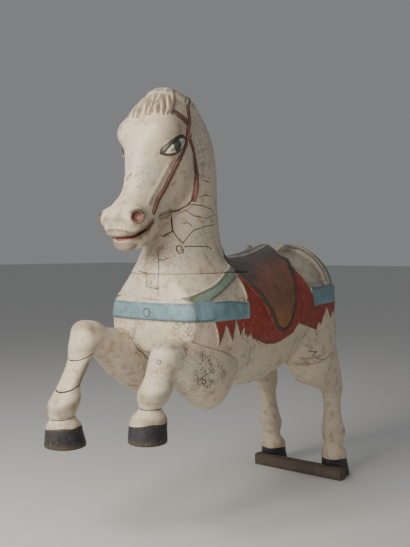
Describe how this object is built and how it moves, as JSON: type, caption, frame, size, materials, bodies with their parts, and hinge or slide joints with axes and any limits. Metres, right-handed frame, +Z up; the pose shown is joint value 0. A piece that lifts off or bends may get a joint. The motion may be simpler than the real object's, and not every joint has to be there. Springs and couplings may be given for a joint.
{
  "type": "carousel horse",
  "caption": "Carved and painted wooden carousel horse rearing on its hind legs, forelegs lifted, fixed to the deck through a foot batten.",
  "frame": {"origin": "on the foot batten's underside, in the horse's middle plane, under the middle of the batten's thickness", "axes": "+X to the horse's own left, -Y the way it faces, +Z up"},
  "size_m": [0.3578, 1.0988, 1.1378],
  "materials": {
    "cream_painted_wood": "aged oil paint, crackled, with coloured harness",
    "black_painted_wood": "worn black oil paint",
    "weathered_bare_wood": "weathered, unpainted"
  },
  "bodies": {
    "root": {"body": "cream_painted_wood", "head_and_neck": "cream_painted_wood", "right_foreleg": "cream_painted_wood", "right_fore_cannon": "cream_painted_wood", "right_fore_fetlock": "cream_painted_wood", "right_fore_hoof": "black_painted_wood", "left_foreleg": "cream_painted_wood", "left_fore_hoof": "black_painted_wood", "foot_batten": "weathered_bare_wood"}
  },
  "joints": []
}
